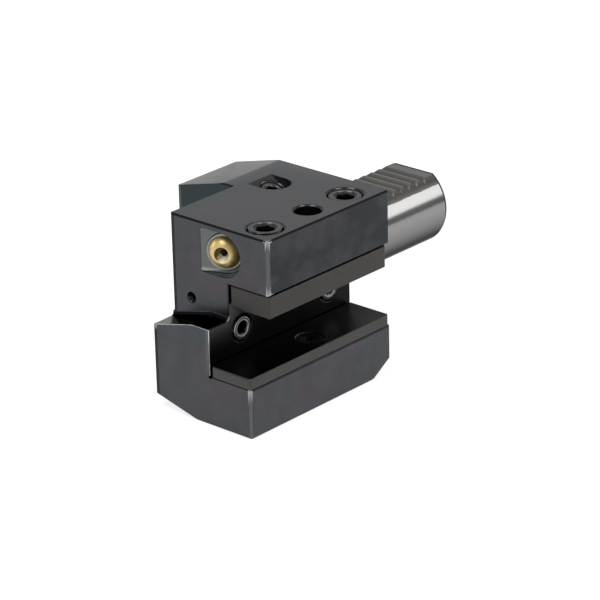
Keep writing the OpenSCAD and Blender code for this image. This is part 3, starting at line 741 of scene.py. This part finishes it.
def turn_z_to(direction):
    """The rotation that points a piece's Z axis in a direction."""
    return Vector(direction).to_track_quat("Z", "Y").to_matrix()


def slanted(angle_deg, axis):
    """A direction that leans towards +X from an axis."""
    a = math.radians(angle_deg)
    return Vector((math.sin(a), 0, 0)) + math.cos(a) * Vector(axis)


def clamping_screws(materials):
    pieces = []
    for node in ("front_clamping_screw", "rear_clamping_screw"):
        low, high, _ = frame_box(node)
        size = high - low
        pieces.append(set_screw(node, turn_z_to((0, 0, 1)), size.z, size.x / 2, 1.75, 6.0, 7.0, (5.45, 4.45),
                                materials))
    return pieces


def stop_screws(materials):
    pieces = []
    for node in ("front_stop_screw", "rear_stop_screw"):
        low, high, _ = frame_box(node)
        size = high - low
        pieces.append(set_screw(node, turn_z_to((1, 0, 0)), size.x, size.z / 2, 1.25, 4.0, 5.0, (3.8, 2.75),
                                materials))
    return pieces


def plugs(materials):
    low, high, _ = frame_box("duct_plug")
    radius, length = (high.y - low.y) / 2, high.x - low.x
    rims = (radius - 0.45, 2.85)
    top_out = slanted(TOP_OUTLET_TURN_DEG, (0, 0, 1))
    return [set_screw(node, turn_z_to(out), length, radius, 1.0, 4.0, 3.0, rims, materials)
            for node, out in (("duct_plug", (-1, 0, 0)), ("top_outlet_plug", top_out))]


def screw_piece(node, rings, material):
    """A screw from rings at their real heights, placed where its CAD node is."""
    middle = frame_box(node)[2]
    rings = [[(p[0], p[1], p[2] - middle.z) for p in ring] for ring in rings]
    return stack(node + "_threaded", rings, placed(middle), material)


def knurled(radius, z):
    """A ring of points with a small groove at every second one."""
    ring = circle(radius, z)
    return [(p[0] * (1 - 0.02 * (i % 2)), p[1] * (1 - 0.02 * (i % 2)), z) for i, p in enumerate(ring)]


def retaining_screw(material):
    """Cap screw through the block that holds the clamping bar, with a knurled head."""
    low, high, _ = frame_box("bar_retaining_screw")
    head_r = (high.x - low.x) / 2
    head_z = high.z - RETAINER_HEAD_H
    r = RETAINER_R
    rings = [circle(r - 0.9, low.z)]
    rings += thread_rings(r, SMALL_SCREW_PITCH, low.z, head_z - RETAINER_GRIP, 0.5)
    rings += [circle(r, head_z - RETAINER_GRIP + 0.2), circle(r, head_z - 0.2), circle(r + 0.2, head_z),
              circle(head_r - 0.15, head_z), circle(head_r, head_z + 0.15),
              knurled(head_r, head_z + 0.3), knurled(head_r, high.z - 0.6),
              circle(head_r - 0.1, high.z - 0.45), circle(head_r - 0.5, high.z)]
    rings += socket_rings(4.0, 2.5, high.z)
    return screw_piece("bar_retaining_screw", rings, material)


def plate_screw(material):
    """Countersunk screw of the support plate."""
    low, high, _ = frame_box("support_plate_screw")
    head_r = (high.x - low.x) / 2
    r = PLATE_SCREW_R
    neck_z = high.z - (head_r - r)
    rings = [circle(r - 0.9, low.z)]
    rings += thread_rings(r, SMALL_SCREW_PITCH, low.z, neck_z - 0.8, 0.5)
    rings += [circle(r - 0.3, neck_z - 0.7), circle(r, neck_z), circle(head_r, high.z - 0.12),
              circle(head_r - 0.08, high.z)]
    rings += socket_rings(3.0, 2.3, high.z)
    return screw_piece("support_plate_screw", rings, material)


# Coolant nozzle, seals and spring


def arc(radius, from_deg, to_deg, steps):
    """Points r, z of a circle round the origin, between two angles over the plane z = 0."""
    angles = [math.radians(from_deg + (to_deg - from_deg) * k / steps) for k in range(steps + 1)]
    return [(radius * math.cos(a), radius * math.sin(a)) for a in angles]


def nozzle_out():
    return slanted(NOZZLE_TURN_DEG, (0, -1, 0))


def nozzle_ball(material, mouth_material):
    """Brass ball with a flat face, a conical mouth and a bore right through."""
    joint = next(j for j in frame["joints"] if j["name"] == "nozzle_swivel")
    centre = Vector(joint["pos_m"]) / MM
    face_r, mouth_r, throat_r, bore_r = 3.0, 2.7, 1.2, 2.5
    face_z = math.sqrt(BALL_R ** 2 - face_r ** 2)
    back_deg = -math.degrees(math.acos(bore_r / BALL_R))
    face_deg = math.degrees(math.acos(face_r / BALL_R))
    profile = arc(BALL_R, back_deg, face_deg, 24)
    profile += [(mouth_r, face_z), (throat_r, face_z - 2.2), (throat_r, 0.0), (bore_r, -0.8),
                (bore_r, profile[0][1] + 0.3)]
    rings = [circle(r, z) for r, z in profile]
    mouth = len(rings) - 5
    return stack("nozzle_ball_turned", rings, placed(centre, turn_z_to(nozzle_out())), material, closed=True,
                 band_material=mouth_material, bands=[mouth])


def nozzle_ring(material):
    """The ring round the ball, with a rounded front edge and a seat that follows the ball."""
    middle = frame_box("nozzle_ring")[2]
    seat_r = BALL_R + 0.05
    soft = 0.25
    back = RING_PROUD - RING_LENGTH
    seat = [(math.sqrt(seat_r ** 2 - (z + BALL_SINK) ** 2), z)
            for z in (RING_PROUD - 0.12, -0.2, -0.9, -BALL_SINK)]
    profile = [(seat_r, back), (RING_R - 0.2, back), (RING_R, back + 0.2), (RING_R, RING_PROUD - soft),
               (RING_R - 0.3 * soft, RING_PROUD - 0.3 * soft), (RING_R - soft, RING_PROUD),
               (seat[0][0] + 0.12, RING_PROUD)] + seat
    rings = [circle(r, z - RING_PROUD + RING_LENGTH / 2) for r, z in profile]
    return stack("nozzle_ring_turned", rings, placed(middle, turn_z_to(nozzle_out())), material, closed=True)


def sealing_ring(node, out, material):
    low, high, middle = frame_box(node)
    radius = (high.z - low.z) / 2 - SEAL_SECTION_R
    path = [(radius * math.cos(TURN * i / 72), radius * math.sin(TURN * i / 72), 0.0) for i in range(72)]
    place = placed(middle, turn_z_to(out))
    return tube(node + "_moulded", path, SEAL_SECTION_R, place, material, closed=True)


def spring(material):
    """Compression spring with ground ends."""
    low, high, middle = frame_box("bar_spring")
    radius = (high.x - low.x) / 2 - SPRING_WIRE_R
    half = (high.z - low.z) / 2
    steps = 32 * SPRING_TURNS
    path = []
    for k in range(steps + 1):
        turns = SPRING_TURNS * k / steps
        ends = min(turns, 1.0) + max(0.0, turns - (SPRING_TURNS - 1.0))
        rise = (turns - 0.35 * ends) / (SPRING_TURNS - 0.7)
        height = -half + SPRING_WIRE_R * 0.6 + rise * 2 * (half - SPRING_WIRE_R * 0.6)
        path.append((radius * math.cos(TURN * turns), radius * math.sin(TURN * turns), height))
    piece = tube("bar_spring_wound", path, SPRING_WIRE_R, placed(middle), material, sides=12,
                 flat_z=(-half, half))
    return piece, Vector((middle.x, middle.y, low.z)), high.z - low.z


# Stage


def stage_plane(name, half_size, z):
    mesh = bpy.data.meshes.new(name)
    r = half_size
    corners = [(-r, -r), (r, -r), (r, r), (-r, r)]
    mesh.from_pydata([(x * MM, y * MM, z * MM) for x, y in corners], [], [(0, 1, 2, 3)])
    plane = bpy.data.objects.new(name, mesh)
    bpy.context.scene.collection.objects.link(plane)
    return plane


def make_floor(z):
    """A pale floor that shows white where the light falls on it freely, and keeps the object's shadow."""
    floor = stage_plane("floor", 6000, z)
    material = bpy.data.materials.new("pale_floor")
    material.use_nodes = True
    nodes, links = material.node_tree.nodes, material.node_tree.links
    nodes.clear()
    diffuse = nodes.new("ShaderNodeBsdfDiffuse")
    diffuse.inputs["Color"].default_value = (FLOOR_COLOUR, FLOOR_COLOUR, FLOOR_COLOUR, 1.0)
    lift = nodes.new("ShaderNodeEmission")
    path = nodes.new("ShaderNodeLightPath")
    seen = path.outputs["Is Camera Ray"]
    for ray in ("Is Glossy Ray", "Is Transmission Ray"):
        either = nodes.new("ShaderNodeMath")
        either.operation = "MAXIMUM"
        links.new(seen, either.inputs[0])
        links.new(path.outputs[ray], either.inputs[1])
        seen = either.outputs[0]
    strength = nodes.new("ShaderNodeMath")
    strength.operation = "MULTIPLY"
    strength.inputs[1].default_value = FLOOR_LIFT
    links.new(seen, strength.inputs[0])
    links.new(strength.outputs[0], lift.inputs["Strength"])
    both = nodes.new("ShaderNodeAddShader")
    links.new(diffuse.outputs[0], both.inputs[0])
    links.new(lift.outputs[0], both.inputs[1])
    links.new(both.outputs[0], nodes.new("ShaderNodeOutputMaterial").inputs["Surface"])
    floor.data.materials.append(material)


def make_world():
    """Even soft light from pale walls under a darker ceiling."""
    world = bpy.data.worlds.new("studio")
    bpy.context.scene.world = world
    world.use_nodes = True
    nodes, links = world.node_tree.nodes, world.node_tree.links
    background = nodes["Background"]
    background.inputs["Color"].default_value = (1.0, 1.0, 1.0, 1.0)
    height = nodes.new("ShaderNodeSeparateXYZ")
    level = nodes.new("ShaderNodeMapRange")
    level.inputs["From Min"].default_value = math.sin(math.radians(WORLD_DIMS_FROM_DEG))
    level.inputs["From Max"].default_value = math.sin(math.radians(WORLD_DIM_FROM_DEG))
    level.inputs["To Min"].default_value = WORLD_LOW
    level.inputs["To Max"].default_value = WORLD_HIGH
    links.new(nodes.new("ShaderNodeTexCoord").outputs["Generated"], height.inputs[0])
    links.new(height.outputs["Z"], level.inputs["Value"])
    links.new(level.outputs["Result"], background.inputs["Strength"])


def dark_card(name, at, size, colour):
    """An upright matt card that faces the object, and that only reflections see."""
    mesh = bpy.data.meshes.new(name)
    half_width, half_height = size[0] / 2 * MM, size[1] / 2 * MM
    corners = [(-half_width, -half_height), (half_width, -half_height), (half_width, half_height),
               (-half_width, half_height)]
    mesh.from_pydata([(x, y, 0) for x, y in corners], [], [(0, 1, 2, 3)])
    material = bpy.data.materials.new(name)
    material.use_nodes = True
    shader = material.node_tree.nodes["Principled BSDF"]
    shader.inputs["Base Color"].default_value = (*colour, 1.0)
    shader.inputs["Roughness"].default_value = 1.0
    mesh.materials.append(material)
    card = bpy.data.objects.new(name, mesh)
    bpy.context.scene.collection.objects.link(card)
    level = Vector((at[0], at[1], 0)).normalized()
    card.matrix_world = placed(at, (-level).to_track_quat("Z", "Y").to_matrix())
    card.visible_camera = False
    card.visible_shadow = False


def area_light(name, at, aim, size, watts):
    lamp = bpy.data.lights.new(name, "AREA")
    lamp.shape = "RECTANGLE"
    lamp.size, lamp.size_y = size[0] * MM, size[1] * MM
    lamp.energy = watts
    light = bpy.data.objects.new(name, lamp)
    bpy.context.scene.collection.objects.link(light)
    place = Vector(at) * MM
    light.location = place
    light.rotation_mode = "QUATERNION"
    light.rotation_quaternion = (Vector(aim) * MM - place).to_track_quat("-Z", "Y")
    light.visible_camera = False
    return light


def make_camera():
    """A pinhole at the photograph's distance, turned, tilted and rolled as the photograph shows."""
    azimuth, elevation, roll = (math.radians(a) for a in (AZIMUTH_DEG, ELEVATION_DEG, ROLL_DEG))
    level = math.cos(elevation)
    back = Vector((math.sin(azimuth) * level, -math.cos(azimuth) * level, math.sin(elevation)))
    right = Vector((math.cos(azimuth), math.sin(azimuth), 0))
    turn = Matrix((right, back.cross(right), back)).transposed() @ Matrix.Rotation(roll, 3, "Z")
    lens = bpy.data.cameras.new("camera")
    lens.sensor_width = SENSOR_WIDTH
    lens.lens = SENSOR_WIDTH * FOCAL_PX / IMAGE_PX
    lens.clip_start, lens.clip_end = 0.01, 20.0
    camera = bpy.data.objects.new("camera", lens)
    bpy.context.scene.collection.objects.link(camera)
    camera.matrix_world = placed(Vector(CAMERA_TARGET) + CAMERA_DISTANCE * back, turn)
    bpy.context.scene.camera = camera


# The whole picture


def dress_body_parts():
    groups = (geometry_group("hard_edges", sharpen_hard_edges),
              geometry_group("edge_shares", share_rounding))
    insert_edge = dark_edge("insert_edge")
    bar_low = frame_box("clamping_bar")[0].z
    plate_high = frame_box("support_plate")[1].z
    bar = blackened("bar_steel", (0.045, 0.043, 0.041), (0.058, 0.056, 0.053), 0.3, bar_low - 1.0,
                    bar_low + 0.03)
    plate = blackened("plate_steel", (0.052, 0.051, 0.05), (0.07, 0.069, 0.067), 0.3, plate_high - 0.03,
                      plate_high + 1.0)
    dress_cad("body", body_steel(), body_edge_wear_and_shade(), EDGE_ROUNDING, groups)
    dress_cad("clamping_bar", bar, insert_edge, INSERT_ROUNDING, groups)
    dress_cad("support_plate", plate, insert_edge, INSERT_ROUNDING, groups)


def make_pieces():
    screw_steel = turned("screw_steel", (0.04, 0.04, 0.042), (0.085, 0.085, 0.085), 0.34)
    screw_rim = turned("screw_rim", (0.1, 0.1, 0.102), (0.2, 0.2, 0.2), 0.34)
    stop_steel = turned("stop_steel", (0.03, 0.03, 0.031), (0.06, 0.06, 0.06), 0.34)
    stop_rim = turned("stop_rim", (0.26, 0.26, 0.26), (0.44, 0.44, 0.43), 0.34)
    ring_steel = turned("ring_steel", (0.2, 0.2, 0.195), (0.28, 0.28, 0.27), 0.34)
    spring_steel = turned("spring_steel", (0.3, 0.3, 0.31), (0.45, 0.45, 0.46), 0.3)
    brass = turned("nozzle_brass", (0.56, 0.43, 0.17), (0.74, 0.6, 0.27), 0.42)
    black_rubber = rubber()

    front_clamp, rear_clamp = clamping_screws((screw_steel, screw_rim))
    front_stop, rear_stop = stop_screws((stop_steel, stop_rim))
    duct_plug, top_plug = plugs((screw_steel, screw_rim))
    coil, spring_foot, spring_length = spring(spring_steel)
    rows = [
        (front_clamp, "front_clamp", "front_clamping_screw", "screw_steel"),
        (rear_clamp, "rear_clamp", "rear_clamping_screw", "screw_steel"),
        (retaining_screw(screw_steel), "bar", "bar_retaining_screw", "screw_steel"),
        (coil, "holder", "bar_spring", "spring_steel"),
        (plate_screw(screw_steel), "holder", "support_plate_screw", "screw_steel"),
        (front_stop, "front_stop", "front_stop_screw", "stop_steel"),
        (rear_stop, "rear_stop", "rear_stop_screw", "stop_steel"),
        (nozzle_ball(brass, mouth_brass()), "nozzle", "nozzle_ball", "nozzle_brass"),
        (nozzle_ring(ring_steel), "holder", "nozzle_ring", "ring_steel"),
        (sealing_ring("nozzle_seal", nozzle_out(), black_rubber), "holder", "nozzle_seal", "seal_rubber"),
        (sealing_ring("shank_seal_ring", (0, 1, 0), black_rubber), "holder", "shank_seal_ring",
         "seal_rubber"),
        (top_plug, "holder", "top_outlet_plug", "screw_steel"),
        (duct_plug, "holder", "duct_plug", "screw_steel"),
    ]
    for piece, body, node, slot in rows:
        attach(piece, body)
        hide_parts(node)
    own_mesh(coil)


def make_stage():
    make_floor(frame_box("body")[0].z)
    make_world()
    area_light("front_light", (-120, -384, 700), (0, 0, 0), (300, 300), 1.6)
    area_light("right_light", (390, 80, 695), (0, 0, 0), (240, 240), 1.0)
    area_light("left_light", (-585, -260, 165), (0, -50, 0), (200, 160), 0.3)
    area_light("band_light", (410, 446, 225), (0, 30, 0), (380, 260), 0.75)
    dark_card("band_card", (400, 435, 25), (420, 126), (0.34, 0.4, 0.37))
    make_camera()
    bpy.context.scene.view_settings.view_transform = "Standard"


dress_body_parts()
make_pieces()
make_stage()
